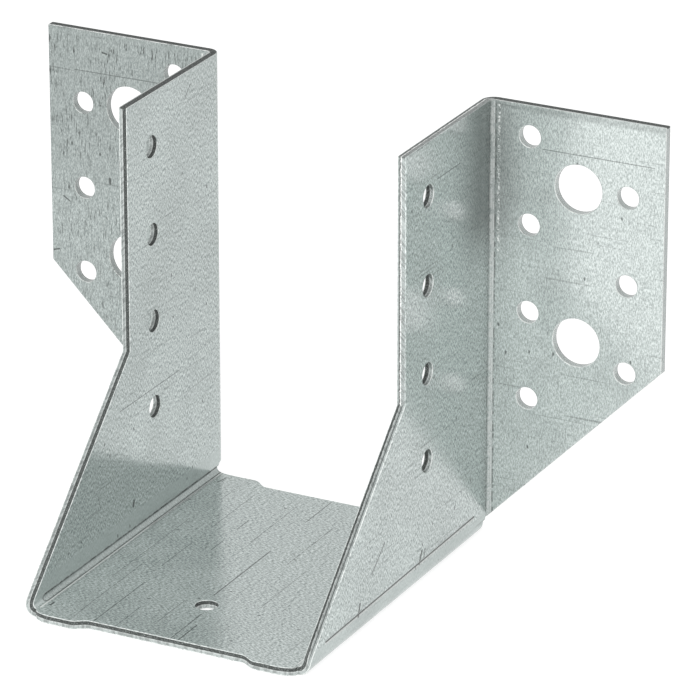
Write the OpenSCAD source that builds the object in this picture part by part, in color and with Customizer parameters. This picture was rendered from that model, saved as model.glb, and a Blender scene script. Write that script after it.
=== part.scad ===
// Joist hanger for face fixing: one blank of galvanised sheet steel, punched, then folded
// four times. Two folds turn the side plates up from the seat, and two more turn the header
// flanges outwards. X runs across the joist, Y runs back towards the header and Z is up.
// The origin is the middle of the floor space that the hanger covers.

/* [Sheet] */
// Thickness of the sheet
sheet_t = 2; // [1.5:0.1:3]
// Inside radius of every fold
fold_r = 1; // [0.5:0.1:2.5]

/* [Side plates] */
// Clear width between the side plates, for the joist
pocket_w = 64; // [50:1:140]
// Height from the underside of the seat to the top edges
height = 100; // [96:1:160]
// Depth of the upright part of a side plate, from the header face
plate_depth = 42.5; // [38:0.5:60]
// Height at which the front edge of a side plate starts to slope out to the seat
kink_z = 44.5; // [30:0.5:60]
// Height at which that slope would meet the front end of the seat fold
slope_foot_z = 2.6; // [2:0.1:6]
// Radius at the foot of the slope
slope_foot_r = 5; // [2:0.5:8]

/* [Seat] */
// Depth from the header face to the front corners of the seat
seat_depth = 88; // [75:0.5:110]
// How far the front corners stand out past the middle of the front edge
front_corner_out = 1.8; // [0.5:0.1:3]
// How far the back corners stand out past the middle of the back edge
back_corner_out = 2.4; // [0.5:0.1:3]
// Distance from the header face to the back corners of the seat
back_corner_gap = 4.8; // [4.5:0.1:8]
// Length of the curve between a seat fold and the straight edge of a corner
corner_turn = 4.5; // [3:0.5:6]
// Length of the straight edge on each corner
corner_flat = 4.5; // [3:0.5:8]
// Width of the S-shaped step between a corner and the middle of the edge
corner_step = 4; // [2:0.5:5]

/* [Header flanges] */
// Width of a flange, measured out from its side plate
flange_w = 40.5; // [37:0.5:60]
// Height of the outer lower corner of a flange
flange_corner_z = 44.5; // [36:0.5:50]
// Height at which the lower edge of a flange would meet its side plate
flange_toe_z = 3.6; // [3:0.1:12]
// Gap between the header fold and the back end of the seat fold
relief_gap = 1.1; // [0.5:0.1:1.5]

/* [Nail holes] */
// Diameter of a nail hole
nail_d = 5; // [3:0.1:6]
// Distance between the nail holes in a column
nail_pitch = 20; // [16:0.5:22]
// Nail holes in the inner column of a flange
inner_nails = 4; // [2:1:4]
// Nail holes in the outer column of a flange
outer_nails = 3; // [2:1:3]
// Nail holes in a side plate
plate_nails = 4; // [2:1:4]
// Drop from the top edge to the first hole of the inner column
inner_drop = 7; // [5:0.5:9]
// Drop from the top edge to the first hole in a side plate
plate_drop = 12; // [8:0.5:16]
// Distance of the inner column from the side plate
inner_column = 9; // [7:0.5:9.5]
// Distance between a column of nail holes and the column of bolt holes
column_gap = 11.5; // [10:0.5:12.5]
// Distance of the holes in a side plate from the header face
plate_column = 32; // [20:0.5:34]
// Distance of the nail hole in the seat from its front corners
seat_nail_in = 20; // [10:0.5:40]

/* [Bolt holes] */
// Diameter of a bolt hole
bolt_d = 11; // [8:0.5:12]
// Distance between the bolt holes in a flange
bolt_pitch = 35; // [28:0.5:38]

/* [Hidden] */
$fn = 72;
arc_steps = 8;
past = 1;                                     // how far a cutter runs past the sheet

inner_x = pocket_w / 2;                       // inner face of a side plate
outer_x = inner_x + sheet_t;                  // outer face of a side plate
flange_x = outer_x + flange_w;                // outer edge of a flange
fold_out = fold_r + sheet_t;                  // outside radius of a fold
seat_x = inner_x - fold_r;                    // edge of the flat part of the seat
front_mid_y = front_corner_out - seat_depth;  // front edge of the seat in its middle
back_mid_y = -back_corner_gap - back_corner_out;
fold_back_y = -fold_out - relief_gap;         // back end of a seat fold
pad_x = seat_x - corner_turn;                 // outer end of a corner's straight edge
step_x = pad_x - corner_flat;                 // inner end of a corner's straight edge
mid_x = step_x - corner_step;                 // where the middle of the edge begins
low_edge_slope = (flange_corner_z - flange_toe_z) / flange_w;
fold_mid_z = flange_toe_z + fold_r / 2 * low_edge_slope;
outer_drop = inner_drop + nail_pitch / 2;     // the outer column is half a pitch lower
bolt_x = outer_x + inner_column + column_gap;

// Points along an S from one point to another, level at both ends
function s_curve(x0, y0, x1, y1) = [
    for (i = [0 : arc_steps])
        let (t = i / arc_steps)
        [x0 + (x1 - x0) * t, y0 + (y1 - y0) * (1 - cos(180 * t)) / 2]
];

// Points along a quarter of an oval, which ends level
function quarter_turn(x0, y0, x1, y1) = [
    for (i = [0 : arc_steps])
        let (a = 90 * i / arc_steps)
        [x0 + (x1 - x0) * (1 - cos(a)), y0 + (y1 - y0) * sin(a)]
];

// Points along an arc about a centre
function arc(cx, cy, r, a0, a1) = [
    for (i = [0 : arc_steps])
        let (a = a0 + (a1 - a0) * i / arc_steps)
        [cx + r * cos(a), cy + r * sin(a)]
];

function backwards(points) = [for (i = [len(points) - 1 : -1 : 0]) points[i]];
function flip_x(points) = [for (p = points) [-p[0], p[1]]];

// The right half of an edge of the seat, from its fold to where the middle begins
function seat_edge(fold_y, corner_y, mid_y) = concat(
    quarter_turn(seat_x, fold_y, pad_x, corner_y),
    s_curve(step_x, corner_y, mid_x, mid_y)
);

// The flat part of the seat, with its corners standing out past the middle of both edges
module seat() {
    front = seat_edge(front_mid_y, -seat_depth, front_mid_y);
    back = seat_edge(fold_back_y, -back_corner_gap, back_mid_y);
    linear_extrude(sheet_t)
        polygon(concat(front, backwards(flip_x(front)), flip_x(back), backwards(back)));
}

// A quarter of a tube about the Z axis, in the corner of +X and +Y
module fold(length) {
    rotate_extrude(angle = 90)
        translate([fold_r, 0]) square([sheet_t, length]);
}

// Turns the sheet up from the seat into the side plate
module seat_fold() {
    translate([seat_x, fold_back_y, fold_out])
        rotate([90, 0, 0])
        rotate(-90)
        fold(seat_depth + fold_back_y);
}

// Turns the sheet out from the side plate into the flange
module header_fold() {
    translate([outer_x + fold_r, -fold_out, 0])
        rotate(90)
        fold(height);
}

module side_plate() {
    translate([inner_x, -seat_depth, fold_out])
        cube([sheet_t, seat_depth - fold_out, height - fold_out]);
}

module flange() {
    translate([outer_x + fold_r, -sheet_t, 0])
        cube([flange_w - fold_r, sheet_t, height]);
}

// What the outline of the blank leaves of one side, seen from the side
module side_outline() {
    run = -plate_depth - front_mid_y;
    turn = atan2(run, kink_z - slope_foot_z);
    foot_z = slope_foot_z - slope_foot_r * tan(turn / 2);
    floor_z = foot_z - past;
    polygon(concat(
        [[-plate_depth, height + past], [-plate_depth, kink_z]],
        arc(front_mid_y + slope_foot_r, foot_z, slope_foot_r, 180 - turn, 180),
        [[front_mid_y, floor_z], [fold_back_y, floor_z], [fold_back_y, sheet_t]],
        [[-fold_out, flange_toe_z], [0, fold_mid_z], [past, fold_mid_z]],
        [[past, height + past]]
    ));
}

// The same, seen from the front
module front_outline() {
    end_x = flange_x + past;
    polygon([
        [0, height + past],
        [0, -past],
        [outer_x, -past],
        [outer_x, flange_toe_z],
        [end_x, flange_corner_z + past * low_edge_slope],
        [end_x, height + past]
    ]);
}

// The folds, side plate and flange to the right of the joist
module right_side() {
    intersection() {
        union() {
            seat_fold();
            side_plate();
            header_fold();
            flange();
        }
        rotate([90, 0, 90]) linear_extrude(flange_x + past) side_outline();
        translate([0, past, 0])
            rotate([90, 0, 0])
            linear_extrude(seat_depth + 2 * past) front_outline();
    }
}

// A hole through the header flange at x and z
module header_hole(x, z, d) {
    translate([x, past, z])
        rotate([90, 0, 0])
        cylinder(d = d, h = sheet_t + 2 * past);
}

// The holes of the right flange: nail holes staggered either side of the bolt holes
module flange_holes() {
    for (i = [0 : inner_nails - 1])
        header_hole(bolt_x - column_gap, height - inner_drop - i * nail_pitch, nail_d);
    for (i = [0 : outer_nails - 1])
        header_hole(bolt_x + column_gap, height - outer_drop - i * nail_pitch, nail_d);
    for (i = [0, 1])
        header_hole(bolt_x, height - outer_drop - i * bolt_pitch, bolt_d);
}

// The column of nail holes in the right side plate
module plate_holes() {
    for (i = [0 : plate_nails - 1])
        translate([inner_x - past, -plate_column, height - plate_drop - i * nail_pitch])
            rotate([0, 90, 0])
            cylinder(d = nail_d, h = sheet_t + 2 * past);
}

module seat_hole() {
    translate([0, seat_nail_in - seat_depth, -past])
        cylinder(d = nail_d, h = sheet_t + 2 * past);
}

// The whole hanger, with the header face at +Y
module hanger() {
    color([0.66, 0.69, 0.68])
        translate([0, seat_depth / 2, 0])
        difference() {
            union() {
                seat();
                right_side();
                mirror([1, 0, 0]) right_side();
            }
            flange_holes();
            plate_holes();
            mirror([1, 0, 0]) flange_holes();
            mirror([1, 0, 0]) plate_holes();
            seat_hole();
        }
}

hanger();
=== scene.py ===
import math

import bpy
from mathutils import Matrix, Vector


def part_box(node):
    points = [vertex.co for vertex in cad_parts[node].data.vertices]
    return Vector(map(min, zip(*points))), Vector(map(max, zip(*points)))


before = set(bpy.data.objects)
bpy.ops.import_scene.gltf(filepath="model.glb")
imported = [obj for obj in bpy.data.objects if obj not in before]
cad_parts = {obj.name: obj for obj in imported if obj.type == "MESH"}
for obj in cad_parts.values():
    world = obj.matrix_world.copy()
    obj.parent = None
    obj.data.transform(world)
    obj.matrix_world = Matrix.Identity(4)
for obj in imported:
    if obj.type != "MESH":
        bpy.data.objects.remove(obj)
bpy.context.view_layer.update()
scene = bpy.context.scene
scene.view_settings.view_transform = "Standard"

# ------------------------------------------------------------------ camera
# A long lens, so that upright edges stay upright and the far flange isn't made small.
# It stands above the hanger and to the right of its open front, and looks into the pocket.
view_azimuth = math.radians(27.12)
view_height = math.radians(22.07)
view_distance = 1.1786
lens_length, sensor_width = 286.1, 36               # both in mm
looked_at = Vector((0.0133, 0.0155, 0.0488))

towards_hanger = Vector((
    -math.sin(view_azimuth) * math.cos(view_height),
    math.cos(view_azimuth) * math.cos(view_height),
    -math.sin(view_height),
))
camera_data = bpy.data.cameras.new("camera")
camera_data.sensor_width = sensor_width
camera_data.lens = lens_length
camera = bpy.data.objects.new("camera", camera_data)
camera.location = looked_at - towards_hanger * view_distance
camera.rotation_mode = "QUATERNION"
camera.rotation_quaternion = towards_hanger.to_track_quat("-Z", "Y")
scene.collection.objects.link(camera)
scene.camera = camera

# ------------------------------------------------------------------ hanger: the folded sheet
# One blank of galvanised steel sheet, punched from its outer side and folded four times.
# Punching rolls the outer rims over and leaves the rims on the joist side nearly sharp.
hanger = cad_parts["hanger"]
hanger_low, hanger_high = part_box("hanger")
mm = 0.001
sheet_t = 2 * mm
fold_in = 1 * mm                                   # inside radius of a fold
fold_out = fold_in + sheet_t
inner_x = 32 * mm                                  # joist side of a side plate
outer_x = inner_x + sheet_t
header_y = hanger_high.y                           # face that lies on the header
front_y = hanger_low.y                             # front corners of the seat
rim_roll = 0.2 * mm                                # rounding of the outer rims
rim_burr = 0.6                                     # share of that on the joist side
rim_angle = math.radians(40)                       # an outward corner sharper than this is a rim


def add(tree, kind, **settings):
    node = tree.nodes.new(kind)
    for name, value in settings.items():
        setattr(node, name, value)
    return node


def feed(tree, socket, value):
    if isinstance(value, bpy.types.NodeSocket):
        tree.links.new(value, socket)
    else:
        socket.default_value = value


def calc(tree, operation, *values, clamp=False):
    node = add(tree, "ShaderNodeMath", operation=operation, use_clamp=clamp)
    for socket, value in zip(node.inputs, values):
        feed(tree, socket, value)
    return node.outputs[0]


def vector_calc(tree, operation, *values, out=0):
    node = add(tree, "ShaderNodeVectorMath", operation=operation)
    for socket, value in zip(node.inputs, values):
        feed(tree, socket, value)
    return node.outputs[out]


def vector_of(tree, x, y, z):
    node = add(tree, "ShaderNodeCombineXYZ")
    for socket, value in zip(node.inputs, (x, y, z)):
        feed(tree, socket, value)
    return node.outputs[0]


def parts_of(tree, vector):
    node = add(tree, "ShaderNodeSeparateXYZ")
    feed(tree, node.inputs[0], vector)
    return node.outputs


def ease(tree, value, start, end, low=0.0, high=1.0):
    node = add(tree, "ShaderNodeMapRange", interpolation_type="SMOOTHSTEP")
    for socket, number in zip(node.inputs, (value, start, end, low, high)):
        feed(tree, socket, number)
    return node.outputs[0]


def round_corner(tree, u, v, radius):
    """Distance past a corner rounded to radius, for u and v measured out from its centre."""
    beyond = vector_calc(tree, "LENGTH", vector_of(
        tree, calc(tree, "MAXIMUM", u, 0.0), calc(tree, "MAXIMUM", v, 0.0), 0.0), out=1)
    within = calc(tree, "MINIMUM", calc(tree, "MAXIMUM", u, v), 0.0)
    return calc(tree, "SUBTRACT", calc(tree, "ADD", beyond, within), radius)


def depth_in_sheet(tree, place):
    """How deep a place lies in the sheet, from its joist side, along both kinds of fold."""
    x, y, z = parts_of(tree, place)
    side = calc(tree, "ABSOLUTE", x)
    below = calc(tree, "ADD", sheet_t, round_corner(
        tree,
        calc(tree, "SUBTRACT", side, inner_x - fold_in),
        calc(tree, "SUBTRACT", fold_out, z),
        fold_out))
    above = calc(tree, "MULTIPLY", -1.0, round_corner(
        tree,
        calc(tree, "SUBTRACT", outer_x + fold_in, side),
        calc(tree, "SUBTRACT", y, header_y - fold_out),
        fold_out))
    up = calc(tree, "GREATER_THAN", z, fold_out)
    return calc(tree, "ADD",
                calc(tree, "MULTIPLY", up, above),
                calc(tree, "MULTIPLY", calc(tree, "SUBTRACT", 1.0, up), below))


def rim_finder():
    """Marks the rims to be rolled: fully outside, lightly on the joist side, inward ones never."""
    tree = bpy.data.node_groups.new("rim_finder", "GeometryNodeTree")
    tree.interface.new_socket("Sheet", in_out="INPUT", socket_type="NodeSocketGeometry")
    tree.interface.new_socket("Marked sheet", in_out="OUTPUT", socket_type="NodeSocketGeometry")
    sheet = add(tree, "NodeGroupInput")
    marked = add(tree, "NodeGroupOutput")
    smooth = add(tree, "GeometryNodeSetShadeSmooth")
    corner = add(tree, "GeometryNodeInputMeshEdgeAngle")
    is_rim = calc(tree, "GREATER_THAN", corner.outputs["Signed Angle"], rim_angle)
    place = add(tree, "GeometryNodeInputPosition").outputs[0]
    outside = calc(tree, "GREATER_THAN", depth_in_sheet(tree, place), 0.95 * sheet_t)
    share = ease(tree, outside, 0.0, 1.0, rim_burr, 1.0)
    mark = add(tree, "GeometryNodeStoreNamedAttribute", data_type="FLOAT", domain="EDGE")
    mark.inputs["Name"].default_value = "bevel_weight_edge"
    tree.links.new(sheet.outputs[0], smooth.inputs["Geometry"])
    tree.links.new(smooth.outputs[0], mark.inputs["Geometry"])
    tree.links.new(calc(tree, "MULTIPLY", is_rim, share), mark.inputs["Value"])
    tree.links.new(mark.outputs[0], marked.inputs[0])
    return tree


weld = hanger.modifiers.new("weld", "WELD")
weld.merge_threshold = 0.001 * mm
flats = hanger.modifiers.new("whole_flats", "DECIMATE")
flats.decimate_type = "DISSOLVE"
flats.angle_limit = math.radians(0.3)
finder = hanger.modifiers.new("rims", "NODES")
finder.node_group = rim_finder()
rolled_rims = hanger.modifiers.new("rolled_rims", "BEVEL")
rolled_rims.limit_method = "WEIGHT"
rolled_rims.width = rim_roll
rolled_rims.segments = 3
rolled_rims.use_clamp_overlap = False
even_shading = hanger.modifiers.new("even_shading", "WEIGHTED_NORMAL")
even_shading.keep_sharp = False


def new_effect(name, inputs, outputs):
    """An empty shader node group, with its input and output nodes."""
    tree = bpy.data.node_groups.new(name, "ShaderNodeTree")
    kinds = {"number": "NodeSocketFloat", "vector": "NodeSocketVector"}
    for socket, kind, value in inputs:
        made = tree.interface.new_socket(socket, in_out="INPUT", socket_type=kinds[kind])
        if value is not None:
            made.default_value = value
    for socket, kind in outputs:
        tree.interface.new_socket(socket, in_out="OUTPUT", socket_type=kinds[kind])
    return tree, add(tree, "NodeGroupInput").outputs, add(tree, "NodeGroupOutput").inputs


def use_effect(tree, effect, **values):
    node = add(tree, "ShaderNodeGroup", node_tree=effect)
    for name, value in values.items():
        feed(tree, node.inputs[name], value)
    return node.outputs


def speckle(tree, place, size, detail=2.0, rough=0.5):
    """Cloudy noise from 0 to 1 whose lumps are about size across, in the units of place."""
    node = add(tree, "ShaderNodeTexNoise", noise_dimensions="3D")
    feed(tree, node.inputs["Vector"], place)
    node.inputs["Scale"].default_value = 1 / size
    node.inputs["Detail"].default_value = detail
    node.inputs["Roughness"].default_value = rough
    return node.outputs["Fac"]


def stretch(tree, place, across, along, through=1.0):
    return vector_calc(tree, "MULTIPLY", place, (across, along, through))


def blank_place_effect():
    """Where a spot lies on the flat blank, in mm: across the grain, along it, and deep."""
    tree, given, result = new_effect("place_on_blank", [], [
        ("Blank", "vector"), ("Across", "number"), ("Along", "number"), ("Depth", "number"),
        ("Height", "number")])
    place = add(tree, "ShaderNodeTexCoord").outputs["Object"]
    x, y, z = parts_of(tree, place)
    side = calc(tree, "ABSOLUTE", x)
    out = calc(tree, "MAXIMUM", calc(tree, "SUBTRACT", side, outer_x), 0.0)
    up = calc(tree, "MAXIMUM", calc(tree, "SUBTRACT", z, sheet_t), 0.0)
    across = calc(tree, "DIVIDE", calc(tree, "ADD", y, out), mm)
    along = calc(tree, "DIVIDE", calc(
        tree, "MULTIPLY", calc(tree, "SIGN", x), calc(
            tree, "ADD", up, calc(tree, "MINIMUM", side, outer_x))), mm)
    depth = calc(tree, "DIVIDE", depth_in_sheet(tree, place), mm)
    feed(tree, result["Blank"], vector_of(tree, across, along, depth))
    feed(tree, result["Across"], across)
    feed(tree, result["Along"], along)
    feed(tree, result["Depth"], depth)
    feed(tree, result["Height"], calc(tree, "DIVIDE", z, mm))
    return tree


def rolled_zinc_effect():
    """Fine grain of the zinc, lines and streaks along the rolling direction, drag lines."""
    tree, given, result = new_effect(
        "rolled_zinc",
        [("Blank", "vector", None)],
        [("Grain", "number"), ("Lines", "number"), ("Streaks", "number"),
         ("Clouds", "number"), ("Specks", "number"), ("Waves", "number"), ("Drags", "number")])
    blank = given["Blank"]
    feed(tree, result["Grain"], ease(tree, speckle(
        tree, stretch(tree, blank, 1.0, 0.3), 0.22, 1.5, 0.8), 0.36, 0.64))
    lines = speckle(tree, stretch(tree, blank, 1.0, 0.12), 0.32, 2.0, 0.7)
    feed(tree, result["Lines"], ease(tree, lines, 0.35, 0.65))
    patchy = speckle(tree, blank, 7.0, 2.0, 0.6)
    feed(tree, result["Streaks"], calc(
        tree, "MULTIPLY", ease(tree, lines, 0.57, 0.66), ease(tree, patchy, 0.4, 0.55)))
    feed(tree, result["Clouds"], ease(tree, speckle(
        tree, stretch(tree, blank, 1.0, 0.6), 16.0, 2.0, 0.6), 0.3, 0.7))
    dots = add(tree, "ShaderNodeTexVoronoi", feature="F1")
    feed(tree, dots.inputs["Vector"], stretch(tree, blank, 1.0, 0.5))
    dots.inputs["Scale"].default_value = 1 / 2.6
    near = ease(tree, dots.outputs["Distance"], 0.05, 0.12, 1.0, 0.0)
    chosen = calc(tree, "GREATER_THAN", parts_of(tree, dots.outputs["Color"])[0], 0.55)
    feed(tree, result["Specks"], calc(tree, "MULTIPLY", near, chosen))
    feed(tree, result["Waves"], speckle(tree, stretch(tree, blank, 1.0, 0.5), 9.0, 0.0))
    hairs = speckle(tree, stretch(tree, blank, 0.02, 1.0), 0.5, 1.0, 0.5)
    dashes = speckle(tree, stretch(tree, blank, 0.1, 1.0), 1.5, 0.0, 0.5)
    feed(tree, result["Drags"], calc(
        tree, "MULTIPLY", ease(tree, hairs, 0.64, 0.7), ease(tree, dashes, 0.48, 0.58)))
    return tree


def cut_edge_effect():
    """A punched edge: bright where the punch sheared it, dark and rough where it broke; the line past
    the break and the rims carry painted highlights.
    """
    tree, given, result = new_effect(
        "cut_edge",
        [("Blank", "vector", None), ("Break", "number", 0.9), ("Ragged", "number", 0.3)],
        [("Cut", "number"), ("Broken", "number"), ("Dark line", "number"),
         ("Highlight line", "number"), ("Scored", "number"), ("Rim highlights", "number")])
    blank = given["Blank"]
    depth = parts_of(tree, blank)[2]
    cut = calc(tree, "MULTIPLY", ease(tree, depth, 0.14, 0.22),
               ease(tree, depth, 1.7, 1.78, 1.0, 0.0))
    teeth = speckle(tree, stretch(tree, blank, 1.0, 1.0, 0.0), 1.1, 3.0, 0.75)
    past = calc(tree, "SUBTRACT", depth, calc(tree, "ADD", given["Break"], calc(
        tree, "MULTIPLY", calc(tree, "SUBTRACT", teeth, 0.5), given["Ragged"])))
    flecks = ease(tree, speckle(tree, blank, 0.3, 2.0, 0.8), 0.5, 0.65, 1.0, 0.6)
    feed(tree, result["Cut"], cut)
    feed(tree, result["Broken"], calc(tree, "MULTIPLY", calc(tree, "MULTIPLY", cut, flecks),
                                      ease(tree, past, -0.04, 0.04, 1.0, 0.0)))
    feed(tree, result["Dark line"], calc(
        tree, "MULTIPLY", cut, ease(tree, calc(tree, "ABSOLUTE", past), 0.06, 0.16, 1.0, 0.0)))
    # painted highlight: a light line just past the break
    feed(tree, result["Highlight line"], calc(tree, "MULTIPLY", cut, calc(
        tree, "MULTIPLY", ease(tree, past, 0.08, 0.16),
        ease(tree, past, 0.28, 0.45, 1.0, 0.0))))
    feed(tree, result["Scored"], calc(tree, "MULTIPLY", cut, ease(tree, speckle(
        tree, stretch(tree, blank, 1.0, 1.0, 0.15), 0.8, 2.0, 0.7), 0.45, 0.6)))
    # painted highlights: light lines along both rims of the cut face
    rims = calc(
        tree, "ADD", calc(tree, "MULTIPLY", ease(tree, depth, 0.02, 0.05),
                          ease(tree, depth, 0.14, 0.2, 1.0, 0.0)),
        calc(tree, "MULTIPLY", ease(tree, depth, 1.74, 1.8),
             ease(tree, depth, 1.94, 1.98, 1.0, 0.0)))
    feed(tree, result["Rim highlights"], calc(
        tree, "MULTIPLY", rims, ease(tree, speckle(tree, blank, 1.4, 2.0, 0.7), 0.4, 0.55,
                                     0.3, 1.0)))
    return tree


def tool_stroke_effect():
    """A straight mark with round ends on one skin of the blank, and a line round its border."""
    tree, given, result = new_effect(
        "tool_stroke",
        [("Blank", "vector", None), ("From", "vector", None), ("To", "vector", None),
         ("Width", "number", 1.0), ("Softness", "number", 0.1)],
        [("Inside", "number"), ("Border", "number")])
    start, end = given["From"], given["To"]
    run = vector_calc(tree, "SUBTRACT", end, start)
    here = vector_calc(tree, "SUBTRACT", given["Blank"], start)
    share = calc(tree, "DIVIDE", vector_calc(tree, "DOT_PRODUCT", here, run, out=1),
                 vector_calc(tree, "DOT_PRODUCT", run, run, out=1), clamp=True)
    nearest = add(tree, "ShaderNodeVectorMath", operation="SCALE")
    feed(tree, nearest.inputs[0], run)
    feed(tree, nearest.inputs["Scale"], share)
    off = vector_calc(tree, "LENGTH", vector_calc(
        tree, "SUBTRACT", here, nearest.outputs[0]), out=1)
    past = calc(tree, "SUBTRACT", off, calc(tree, "MULTIPLY", given["Width"], 0.5))
    soft = given["Softness"]
    feed(tree, result["Inside"], ease(
        tree, past, calc(tree, "MULTIPLY", soft, -1.0), soft, 1.0, 0.0))
    feed(tree, result["Border"], ease(
        tree, calc(tree, "ABSOLUTE", past), calc(tree, "MULTIPLY", soft, 0.6),
        calc(tree, "MULTIPLY", soft, 2.0), 1.0, 0.0))
    return tree


def blend_colour(tree, share, below, above):
    node = add(tree, "ShaderNodeMix", data_type="RGBA")
    feed(tree, node.inputs[0], share)
    feed(tree, node.inputs[6], below)
    feed(tree, node.inputs[7], above)
    return node.outputs[2]


def blend_value(tree, share, below, above):
    node = add(tree, "ShaderNodeMix")
    feed(tree, node.inputs[0], share)
    feed(tree, node.inputs[2], below)
    feed(tree, node.inputs[3], above)
    return node.outputs[0]


joist_skin, outer_skin = 0.0, sheet_t / mm          # depths of the sheet's two skins, in mm
seat_edge = (inner_x - fold_in) / mm                # where the seat fold starts, along the grain
plate_foot = seat_edge + 2 * fold_in / mm           # where it ends, on the joist side
outer_foot = plate_foot + sheet_t / mm              # where it ends, on the outer side
fold_line = header_y / mm - sheet_t / mm - fold_in / mm   # where a header fold starts, across
top_edge = hanger_high.z / mm                      # height of the top edges, in mm
top_line = top_edge + seat_edge + fold_in / mm
kink_height = 44.5                                  # where the front edges start to slope, in mm

# Marks of handling on the blank, in mm: hairlines across the grain, then nicks and small dents.
# Each has where it starts and ends, both across and along the grain, its skin and its width.
hairlines = (
    (-19.0, -1.0, 6.5, -1.0, joist_skin, 0.3),
    (24.0, -1.3, 36.0, -1.3, joist_skin, 0.2),
    (-42.0, 1.2, -28.5, 1.2, joist_skin, 0.22),
    (-42.0, 3.0, -34.0, 3.0, joist_skin, 0.28),
    (-43.0, -17.3, -20.0, -17.3, joist_skin, 0.2),
    (-10.5, -18.2, 3.0, -18.2, joist_skin, 0.14),
    (-43.0, -12.0, -31.0, -12.0, joist_skin, 0.14),
    (1.5, -12.7, 7.0, -12.7, joist_skin, 0.16),
    (13.5, -12.9, 19.0, -12.9, joist_skin, 0.18),
    (12.0, -18.3, 32.0, -18.3, joist_skin, 0.12),
    (6.0, -30.6, 36.0, -30.6, joist_skin, 0.14),
    (-36.0, -5.2, -24.0, -5.2, joist_skin, 0.12),
    (-38.0, -22.4, -12.0, -22.4, joist_skin, 0.1),
    (-20.0, -25.0, 14.0, -25.0, joist_skin, 0.1),
    (9.0, -7.0, 31.0, -7.0, joist_skin, 0.12),
    (2.0, 5.5, 24.0, 5.5, joist_skin, 0.12),
    (-20.0, 10.8, 1.0, 10.8, joist_skin, 0.1),
    (-3.5, -62.5, 23.0, -62.5, joist_skin, 0.16),
    (16.0, 122.5, 27.0, 122.5, outer_skin, 0.16),
    (54.0, 122.7, 80.0, 122.7, outer_skin, 0.14),
    (54.0, -122.6, 76.0, -122.5, outer_skin, 0.14),
)
nicks = (
    (-14.0, 44.0, -8.0, 49.0, outer_skin, 0.3),
    (-20.2, 36.9, -19.4, 39.4, outer_skin, 0.7),
    (8.4, 37.5, 9.6, 40.0, outer_skin, 0.7),
    (10.6, 38.2, 11.2, 39.8, outer_skin, 0.4),
    (-39.0, -29.4, -37.6, -29.4, joist_skin, 0.5),
    (34.4, -29.0, 37.4, -28.4, joist_skin, 0.35),
    (1.7, -38.4, 2.0, -39.4, joist_skin, 0.8),
    (-13.6, -46.6, -12.6, -43.4, joist_skin, 0.16),
    (27.0, -124.4, 29.6, -126.7, joist_skin, 0.2),
    (67.8, -127.3, 68.9, -127.5, outer_skin, 0.4),
    (67.4, -97.0, 67.5, -98.2, outer_skin, 0.5),
    (77.8, -91.2, 79.4, -92.2, outer_skin, 0.3),
    (80.8, -79.3, 82.2, -78.9, outer_skin, 0.35),
)


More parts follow.
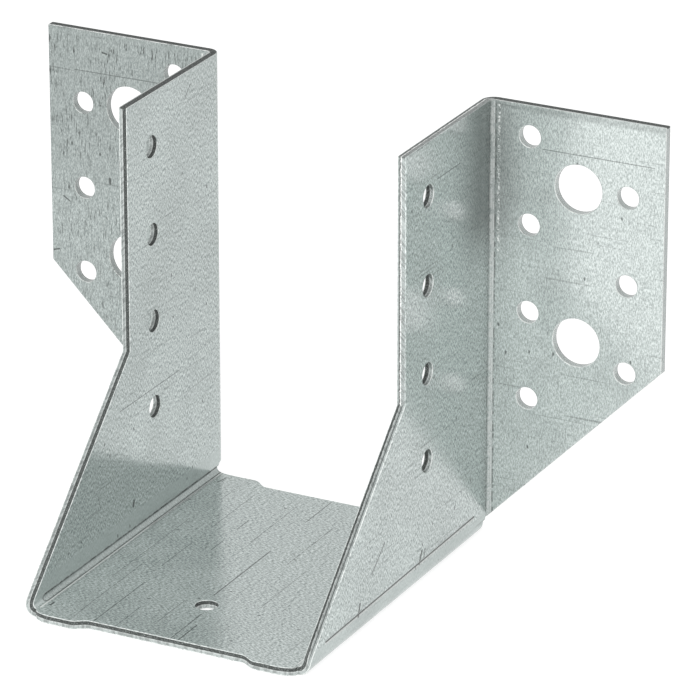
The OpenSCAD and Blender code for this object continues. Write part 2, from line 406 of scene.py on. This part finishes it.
def galvanised_steel():
    """Zinc-coated sheet: half matt oxide and half bare bright zinc, mixed grain by grain."""
    dull_zinc, clean_zinc = (0.26, 0.305, 0.295, 1), (0.78, 0.85, 0.83, 1)
    painted_light_zinc, lined_zinc = (0.88, 0.91, 0.89, 1), (0.24, 0.27, 0.26, 1)
    clean_cut, dark_cut = (0.48, 0.52, 0.51, 1), (0.22, 0.24, 0.235, 1)
    highlight_white, shade, grime_and_shade = (0.88, 0.90, 0.88, 1), (0.16, 0.18, 0.175, 1), (0.03, 0.034, 0.032, 1)
    metal = bpy.data.materials.new("galvanised_steel")
    metal.use_nodes = True
    tree = metal.node_tree
    shader = tree.nodes["Principled BSDF"]
    spot = use_effect(tree, blank_place_effect())
    blank, across, along = spot["Blank"], spot["Across"], spot["Along"]
    both_sides = vector_of(tree, across, calc(tree, "ABSOLUTE", along), spot["Depth"])
    zinc = use_effect(tree, rolled_zinc_effect(), Blank=blank)
    stroke = tool_stroke_effect()

    def strongest(masks):
        top = masks[0]
        for mask in masks[1:]:
            top = calc(tree, "MAXIMUM", top, mask)
        return top

    def part_of(mask, share):
        return calc(tree, "MULTIPLY", mask, share)

    def shift(mask, low, high):
        """Low where a mask is nought and high where it is one."""
        return ease(tree, mask, 0.0, 1.0, low, high)

    def without(mask):
        return shift(mask, 1.0, 0.0)

    def pressed(start, end, skin, width, softness, place):
        """A straight mark on one skin, between two spots given across and along the grain."""
        return use_effect(tree, stroke, Blank=place, Width=width, Softness=softness,
                          From=(*start, skin), To=(*end, skin))

    # which part of the blank a spot is on
    in_flange = ease(tree, across, fold_line, fold_line + 3)
    on_left = ease(tree, along, -44.0, -34.0, 1.0, 0.0)
    left_flange = part_of(in_flange, on_left)
    right_flange = part_of(in_flange, without(on_left))
    right_plate = part_of(ease(tree, along, seat_edge, outer_foot + 4),
                          without(in_flange))
    at_top = ease(tree, spot["Height"], top_edge - 4, top_edge - 2)
    top_face = ease(tree, spot["Height"], top_edge - 0.4, top_edge - 0.2)
    at_front = ease(tree, across, 3.0, 8.0, 1.0, 0.0)
    sloped = part_of(part_of(right_plate, at_front),
                     ease(tree, spot["Height"], kink_height - 0.5, kink_height + 0.5, 1.0, 0.0))
    torn = part_of(part_of(right_plate, strongest([at_front, at_top])),
                   without(sloped))
    # painted shade: the top cut faces off the right plate get a wider dark broken zone
    painted_dark_tops = part_of(top_face, without(right_plate))
    flange_holes = part_of(in_flange, without(top_face))
    edge = use_effect(
        tree, cut_edge_effect(), Blank=blank,
        Break=calc(tree, "ADD", shift(strongest([torn, sloped]), 0.9, 0.55),
                   calc(tree, "SUBTRACT", part_of(painted_dark_tops, 0.6), part_of(flange_holes, 0.65))),
        Ragged=shift(strongest([torn, sloped]), 0.25, 0.6))

    dark_marks = [part_of(edge["Broken"], shift(torn, 0.95, 0.4)),
                  part_of(edge["Dark line"], shift(flange_holes, 0.9, 0.5)),
                  part_of(edge["Scored"], shift(in_flange, 0.4, 0.1)),
                  part_of(part_of(edge["Cut"], sloped), ease(
                      tree, calc(tree, "ABSOLUTE", calc(tree, "SUBTRACT", spot["Depth"], 1.3)),
                      0.06, 0.14, 0.8, 0.0))]
    # painted highlights on the cut faces: the light line past the break and the light rims
    painted_highlights = [part_of(edge["Highlight line"], shift(torn, 0.3, 1.0)),
                   part_of(edge["Rim highlights"], shift(torn, 0.7, 0.1))]
    for across_a, along_a, across_b, along_b, skin, width in hairlines + nicks:
        dark_marks.append(part_of(pressed(
            (across_a, along_a), (across_b, along_b), skin, width, 0.12, blank)["Inside"], 0.8))

    # marks that the folding tools pressed along the bends on both sides, with painted highlights beside
    # some of them
    seat_start = front_y / mm + 7
    chipped = ease(tree, speckle(tree, blank, 1.3, 2.0, 0.7), 0.4, 0.56)
    scuffed = ease(tree, speckle(tree, blank, 0.7, 2.0, 0.8), 0.42, 0.66, 0.0, 0.9)
    fold_width = 2 * fold_in / mm
    seat_band = pressed(
        (seat_start, seat_edge + 1), (fold_line, seat_edge + 1),
        joist_skin, fold_width, 0.16, both_sides)
    seat_nip = pressed(
        (seat_start, seat_edge + 2.1), (fold_line, seat_edge + 2.1),
        joist_skin, 0.35, 0.15, both_sides)
    # painted highlight: a light line just off the seat fold
    seat_highlight = pressed(
        (seat_start - 4, seat_edge - 0.3), (fold_line, seat_edge - 0.3),
        joist_skin, 0.35, 0.15, both_sides)
    seat_line = pressed(
        (seat_start - 1, seat_edge - 0.9), (fold_line - 2, seat_edge - 0.9),
        joist_skin, 0.1, 0.15, both_sides)
    header_band = pressed(
        (fold_line + 1, outer_foot), (fold_line + 1, top_line + 9),
        outer_skin, fold_width, 0.16, both_sides)
    header_line = pressed(
        (fold_line + 1.3, outer_foot), (fold_line + 1.3, top_line - 1),
        outer_skin, 0.16, 0.12, both_sides)
    # scuffs along the header fold, painted as white glints
    header_scuffs = pressed(
        (fold_line + 2.8, top_line - 34), (fold_line + 2.8, top_line - 1),
        outer_skin, 0.5, 0.3, both_sides)
    # painted highlight: a light line just below the tool line
    tool_highlight = pressed(
        (seat_start + 2, outer_foot + 1.8), (fold_line - 6, outer_foot + 2.6),
        outer_skin, 0.4, 0.12, both_sides)
    tool_line = pressed(
        (seat_start + 2, outer_foot + 2.2), (fold_line - 6, outer_foot + 3),
        outer_skin, 0.42, 0.12, both_sides)
    # the die roll below the flanges' top edges: no streaks in it, and painted shade in its hollow
    rolled_top = pressed(
        (fold_line + 3, top_line - 0.8), (fold_line + 50, top_line - 0.8),
        outer_skin, 1.4, 0.5, both_sides)
    # painted shade: a broad soft darkening at the top of the right plate's outer face, by the header
    # fold
    painted_shade_patch = pressed(
        (fold_line - 4, top_line - 24), (fold_line - 4, top_line - 2),
        outer_skin, 14.0, 11.0, blank)
    dark_marks += [part_of(part_of(seat_nip["Inside"], chipped), 0.95),
                   part_of(seat_band["Border"], 0.6), part_of(seat_line["Inside"], 0.5),
                   part_of(seat_band["Inside"], part_of(zinc["Lines"], 0.35)),
                   part_of(part_of(header_band["Border"], chipped), 0.6),
                   part_of(header_band["Inside"], part_of(zinc["Grain"], 0.35)),
                   part_of(header_line["Inside"], shift(chipped, 0.1, 0.6)),
                   part_of(tool_line["Inside"], 0.9)]
    # painted highlights along the folds: light patches in the header band and the glints of the scuffs
    painted_highlights += [part_of(seat_highlight["Inside"], 0.8),
                    part_of(header_band["Inside"], part_of(chipped, 0.3)),
                    part_of(header_scuffs["Inside"], scuffed),
                    part_of(tool_highlight["Inside"], 0.7)]

    # the zinc itself, then its painted shade, painted light and painted highlights, then the marks and
    # grime on it
    upper = ease(tree, spot["Height"], top_edge - 50, top_edge - 15)
    streaks = part_of(zinc["Streaks"], calc(
        tree, "ADD", part_of(in_flange, 0.2), part_of(left_flange, shift(upper, 0.35, 0.6))))
    # streaks, specks and dark marks, with the painted shade of the top cut faces among them
    marks_and_shade = strongest([part_of(streaks, without(rolled_top["Inside"])),
                      part_of(zinc["Specks"], 0.7), part_of(zinc["Drags"], 0.3)] + dark_marks)
    side_run = calc(tree, "ABSOLUTE", along)
    ironed = part_of(ease(tree, side_run, seat_edge, seat_edge + 1),
                     ease(tree, side_run, outer_foot + 1.5, outer_foot + 2.5, 1.0, 0.0))
    grain = blend_value(tree, strongest([part_of(ironed, 0.75), part_of(at_top, 0.15),
                                         part_of(in_flange, 0.25)]), zinc["Grain"], 0.5)
    colour = blend_colour(tree, grain, dull_zinc, clean_zinc)
    # painted light: the right flange is made lighter all over
    colour = blend_colour(tree, part_of(right_flange, 0.16), colour, painted_light_zinc)
    colour = blend_colour(
        tree, part_of(zinc["Lines"], strongest([part_of(left_flange, 0.45), part_of(in_flange, 0.15)])),
        colour, lined_zinc)
    # cut faces turn darker on the right plate's top edge as painted shade, and also on the left side
    # and below the middle of the sloped edge
    sheared = blend_colour(
        tree, strongest([part_of(right_plate, top_face), part_of(on_left, 0.45),
                         part_of(sloped, ease(tree, spot["Depth"], 1.2, 1.4, 0.7, 0.0))]),
        clean_cut, dark_cut)
    colour = blend_colour(tree, part_of(edge["Cut"], 0.8), colour, sheared)
    # painted shade: the left flange, most at its top, the left plate a little, a soft patch at the top
    # of the right plate, and the die-roll band
    shaded = strongest([
        part_of(left_flange, shift(upper, 0.34, 0.5)),
        part_of(calc(tree, "SUBTRACT", on_left, in_flange, clamp=True), 0.07),
        part_of(painted_shade_patch["Inside"], 0.8), part_of(rolled_top["Inside"], 0.35)])
    colour = blend_colour(
        tree, part_of(shaded, calc(tree, "SUBTRACT", 1.0, edge["Cut"], clamp=True)),
        colour, shade)
    # painted highlights: near-white and not metallic
    bright = strongest(painted_highlights)
    colour = blend_colour(tree, bright, colour, highlight_white)
    colour = blend_colour(tree, marks_and_shade, colour, grime_and_shade)
    feed(tree, shader.inputs["Base Color"], colour)

    bare = shift(zinc["Clouds"], 0.48, 0.66)
    feed(tree, shader.inputs["Metallic"], part_of(bare, calc(
        tree, "SUBTRACT", 1.0, strongest([edge["Broken"], bright]))))
    feed(tree, shader.inputs["Roughness"], calc(
        tree, "ADD", shift(zinc["Grain"], 0.16, 0.08),
        calc(tree, "ADD", part_of(edge["Cut"], 0.12), part_of(edge["Broken"], 0.5))))
    relief = calc(tree, "ADD", part_of(zinc["Grain"], 0.006), calc(
        tree, "ADD", part_of(zinc["Waves"], 0.014), calc(
            tree, "ADD", part_of(tool_line["Inside"], -0.05),
            part_of(edge["Scored"], -0.02))))
    bump = add(tree, "ShaderNodeBump")
    bump.inputs["Distance"].default_value = mm
    feed(tree, bump.inputs["Height"], relief)
    feed(tree, shader.inputs["Normal"], bump.outputs[0])
    return metal


hanger.data.materials[0] = galvanised_steel()

# ------------------------------------------------------------------ floor: white paper
# A wide sheet of matt white paper that the hanger stands on and throws its soft shadow on.
# It lies a hair below the seat, so that the two faces never share one plane.
floor_reach, floor_drop = 3.0, 0.1 * mm
floor_mesh = bpy.data.meshes.new("floor")
floor_mesh.from_pydata(
    [(-floor_reach, -floor_reach, -floor_drop), (floor_reach, -floor_reach, -floor_drop),
     (floor_reach, floor_reach, -floor_drop), (-floor_reach, floor_reach, -floor_drop)],
    [], [(0, 1, 2, 3)])
floor = bpy.data.objects.new("floor", floor_mesh)
scene.collection.objects.link(floor)


def rays_that_see(tree, *kinds):
    """One for rays of the named kinds, which see the bare white studio, and nought for others."""
    path = add(tree, "ShaderNodeLightPath")
    seen = path.outputs[kinds[0]]
    for kind in kinds[1:]:
        seen = calc(tree, "MAXIMUM", seen, path.outputs[kind])
    return seen


def white_paper():
    """Matt paper with a glow added for the camera and for reflections, so that it stays white."""
    paper = bpy.data.materials.new("white_paper")
    paper.use_nodes = True
    tree = paper.node_tree
    tree.nodes.clear()
    matt = add(tree, "ShaderNodeBsdfDiffuse")
    matt.inputs["Color"].default_value = (0.4, 0.4, 0.4, 1)
    glow = add(tree, "ShaderNodeEmission")
    feed(tree, glow.inputs["Strength"], calc(
        tree, "MULTIPLY", rays_that_see(tree, "Is Camera Ray", "Is Glossy Ray"), 0.8))
    both = add(tree, "ShaderNodeAddShader")
    feed(tree, both.inputs[0], matt.outputs[0])
    feed(tree, both.inputs[1], glow.outputs[0])
    feed(tree, add(tree, "ShaderNodeOutputMaterial").inputs["Surface"], both.outputs[0])
    return paper


floor_mesh.materials.append(white_paper())

# ------------------------------------------------------------------ light: a white studio
# White walls all round give an even fill, and are what the bare zinc reflects.
# One large softbox stands in front of the open side, a little above the hanger.
studio = bpy.data.worlds.new("studio")
scene.world = studio
studio.use_nodes = True
walls = studio.node_tree
walls.nodes.clear()
fill = add(walls, "ShaderNodeBackground")
fill.inputs["Strength"].default_value = 0.6
white = add(walls, "ShaderNodeBackground")
white.inputs["Strength"].default_value = 1.0
either = add(walls, "ShaderNodeMixShader")
feed(walls, either.inputs[0], rays_that_see(
    walls, "Is Camera Ray", "Is Glossy Ray", "Is Transmission Ray"))
feed(walls, either.inputs[1], fill.outputs[0])
feed(walls, either.inputs[2], white.outputs[0])
feed(walls, add(walls, "ShaderNodeOutputWorld").inputs["Surface"], either.outputs[0])

softbox_place, softbox_aim = Vector((0.2, -1.5, 0.8)), Vector((0, 0, 0.05))
softbox_light = bpy.data.lights.new("softbox", "AREA")
softbox_light.size = 1.2
softbox_light.energy = 32
softbox = bpy.data.objects.new("softbox", softbox_light)
softbox.location = softbox_place
softbox.rotation_mode = "QUATERNION"
softbox.rotation_quaternion = (softbox_aim - softbox_place).to_track_quat("-Z", "Y")
softbox.visible_glossy = False
scene.collection.objects.link(softbox)
